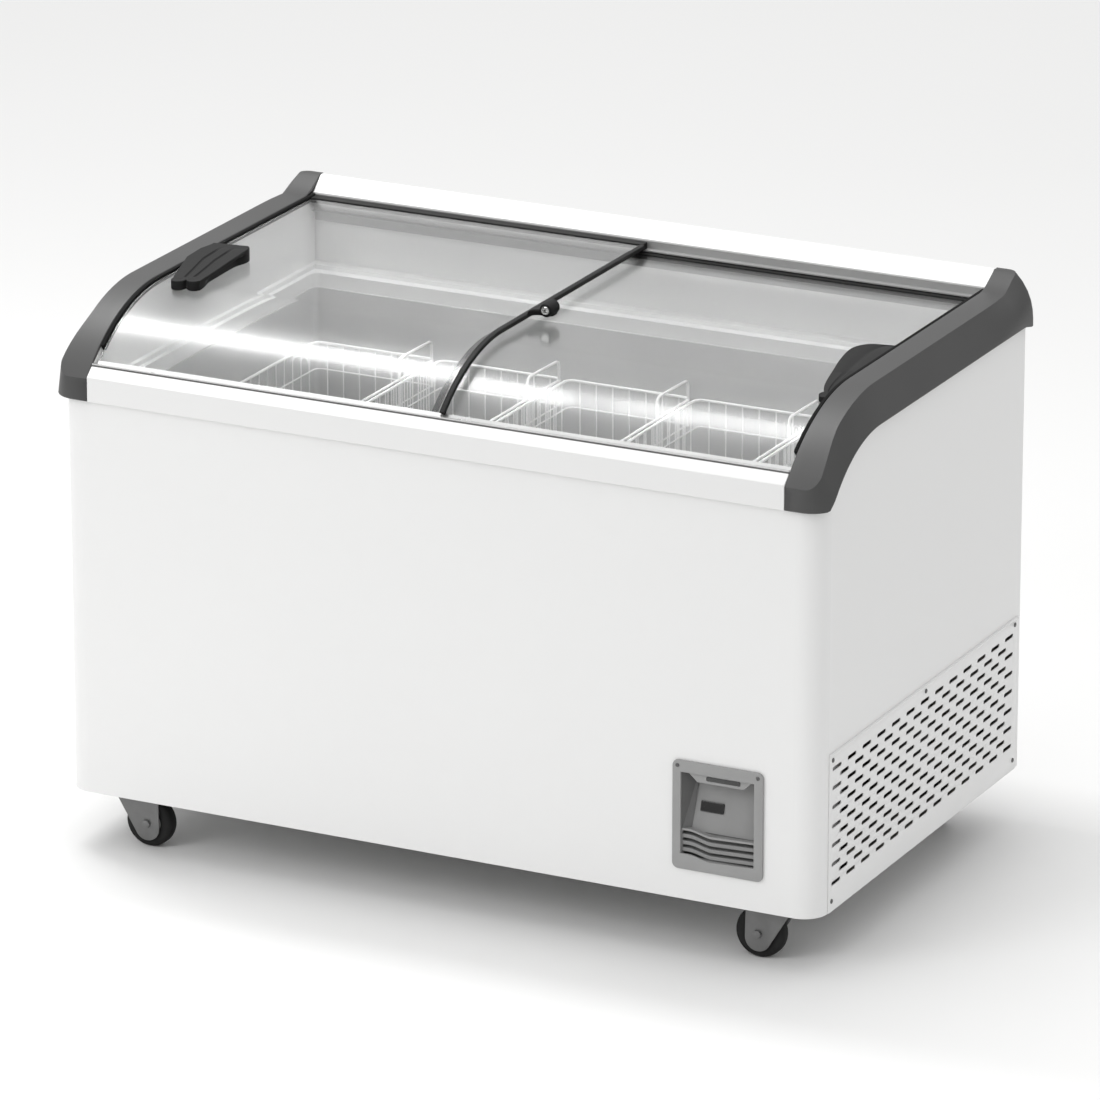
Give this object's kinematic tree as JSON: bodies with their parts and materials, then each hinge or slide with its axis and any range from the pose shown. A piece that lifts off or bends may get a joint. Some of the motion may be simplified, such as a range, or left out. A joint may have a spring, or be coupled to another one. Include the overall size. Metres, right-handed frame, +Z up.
{
  "type": "chest freezer",
  "caption": "Glass-topped display chest freezer with curved sliding lids, wire baskets, a front thermostat recess and swivel casters.",
  "frame": {"origin": "on the floor under the middle of the freezer's bounding box", "axes": "+X to the freezer's right seen from the front, -Y to the front, +Z up"},
  "size_m": [1.224, 0.722, 0.8415],
  "materials": {
    "white_paint": "satin",
    "zinc_steel": "satin",
    "liner_metal": "satin",
    "rigid_foam": "matte",
    "collar_plastic": "satin",
    "rail_plastic": "satin",
    "cap_plastic": "satin",
    "black_plastic": "satin",
    "track_aluminium": "satin",
    "seal_rubber": "matte",
    "bezel_plastic": "satin",
    "panel_plastic": "satin",
    "display_window": "gloss",
    "screw_steel": "satin",
    "compressor_paint": "satin",
    "foot_rubber": "matte",
    "fin_aluminium": "satin",
    "copper_tube": "satin",
    "lid_glass": "gloss",
    "key_steel": "satin",
    "basket_wire": "satin",
    "caster_steel": "satin",
    "hub_plastic": "satin",
    "caster_tyre": "matte"
  },
  "bodies": {
    "cabinet": {"outer_cabinet": "white_paint", "rear_panel": "zinc_steel", "base_tray": "zinc_steel", "inner_liner": "liner_metal", "insulation_foam": "rigid_foam", "top_collar": "collar_plastic", "front_rail": "rail_plastic", "rear_rail": "rail_plastic", "end_cap_left": "cap_plastic", "end_cap_right": "cap_plastic", "front_track": "track_aluminium", "rear_track": "track_aluminium", "side_gaskets": "seal_rubber", "control_bezel": "bezel_plastic", "control_panel": "panel_plastic", "temperature_display": "display_window", "louvre_slats": "panel_plastic", "side_grille": "white_paint", "panel_screws": "screw_steel", "compressor": "compressor_paint", "compressor_feet": "foot_rubber", "condenser": "fin_aluminium", "fan_shroud": "black_plastic", "fan_motor": "zinc_steel", "filter_drier": "copper_tube", "refrigerant_tubes": "copper_tube", "power_inlet": "black_plastic", "caster_plates": "zinc_steel", "caster_bolts": "screw_steel"},
    "fan_rotor": {"fan_blade": "black_plastic"},
    "left_lid": {"left_glass": "lid_glass", "left_runners": "black_plastic", "left_meeting_trim": "black_plastic", "left_handle": "black_plastic", "lock_body": "black_plastic"},
    "lock_key": {"lock_barrel": "key_steel"},
    "right_lid": {"right_glass": "lid_glass", "right_runners": "black_plastic", "right_meeting_trim": "black_plastic", "right_handle": "black_plastic"},
    "wire_basket_1": {"basket_1": "basket_wire"},
    "wire_basket_2": {"basket_2": "basket_wire"},
    "wire_basket_3": {"basket_3": "basket_wire"},
    "wire_basket_4": {"basket_4": "basket_wire"},
    "wire_basket_5": {"basket_5": "basket_wire"},
    "swivel_front_left": {"caster_fork_front_left": "caster_steel"},
    "wheel_front_left": {"caster_hub_front_left": "hub_plastic", "caster_tyre_front_left": "caster_tyre"},
    "swivel_front_right": {"caster_fork_front_right": "caster_steel"},
    "wheel_front_right": {"caster_hub_front_right": "hub_plastic", "caster_tyre_front_right": "caster_tyre"},
    "swivel_rear_left": {"caster_fork_rear_left": "caster_steel"},
    "wheel_rear_left": {"caster_hub_rear_left": "hub_plastic", "caster_tyre_rear_left": "caster_tyre"},
    "swivel_rear_right": {"caster_fork_rear_right": "caster_steel"},
    "wheel_rear_right": {"caster_hub_rear_right": "hub_plastic", "caster_tyre_rear_right": "caster_tyre"}
  },
  "joints": [
    {"name": "left_lid_slide", "type": "slide", "parent": "cabinet", "child": "left_lid", "axis": [1, 0, 0], "range_m": [0, 0.49]},
    {"name": "right_lid_slide", "type": "slide", "parent": "cabinet", "child": "right_lid", "axis": [-1, 0, 0], "range_m": [0, 0.49]},
    {"name": "lock_key_turn", "type": "hinge", "parent": "left_lid", "child": "lock_key", "pos_m": [0.0345, -0.051, 0.8225], "axis": [0, 1, 0], "range_deg": [0, 90]},
    {"name": "fan_spin", "type": "hinge", "parent": "cabinet", "child": "fan_rotor", "pos_m": [0.488, -0.222, 0.21], "axis": [0, 1, 0], "continuous": true},
    {"name": "basket_1_lift", "type": "slide", "parent": "cabinet", "child": "wire_basket_1", "axis": [0, 0, 1], "range_m": [0, 0.1]},
    {"name": "basket_2_lift", "type": "slide", "parent": "cabinet", "child": "wire_basket_2", "axis": [0, 0, 1], "range_m": [0, 0.1]},
    {"name": "basket_3_lift", "type": "slide", "parent": "cabinet", "child": "wire_basket_3", "axis": [0, 0, 1], "range_m": [0, 0.1]},
    {"name": "basket_4_lift", "type": "slide", "parent": "cabinet", "child": "wire_basket_4", "axis": [0, 0, 1], "range_m": [0, 0.1]},
    {"name": "basket_5_lift", "type": "slide", "parent": "cabinet", "child": "wire_basket_5", "axis": [0, 0, 1], "range_m": [0, 0.1]},
    {"name": "front_left_swivel", "type": "hinge", "parent": "cabinet", "child": "swivel_front_left", "pos_m": [-0.516, -0.295, 0.09], "axis": [0, 0, 1], "continuous": true},
    {"name": "front_left_roll", "type": "hinge", "parent": "swivel_front_left", "child": "wheel_front_left", "pos_m": [-0.491, -0.295, 0.0375], "axis": [0, 1, 0], "continuous": true},
    {"name": "front_right_swivel", "type": "hinge", "parent": "cabinet", "child": "swivel_front_right", "pos_m": [0.516, -0.295, 0.09], "axis": [0, 0, 1], "continuous": true},
    {"name": "front_right_roll", "type": "hinge", "parent": "swivel_front_right", "child": "wheel_front_right", "pos_m": [0.491, -0.295, 0.0375], "axis": [0, 1, 0], "continuous": true},
    {"name": "rear_left_swivel", "type": "hinge", "parent": "cabinet", "child": "swivel_rear_left", "pos_m": [-0.516, 0.295, 0.09], "axis": [0, 0, 1], "continuous": true},
    {"name": "rear_left_roll", "type": "hinge", "parent": "swivel_rear_left", "child": "wheel_rear_left", "pos_m": [-0.491, 0.295, 0.0375], "axis": [0, 1, 0], "continuous": true},
    {"name": "rear_right_swivel", "type": "hinge", "parent": "cabinet", "child": "swivel_rear_right", "pos_m": [0.516, 0.295, 0.09], "axis": [0, 0, 1], "continuous": true},
    {"name": "rear_right_roll", "type": "hinge", "parent": "swivel_rear_right", "child": "wheel_rear_right", "pos_m": [0.491, 0.295, 0.0375], "axis": [0, 1, 0], "continuous": true}
  ]
}
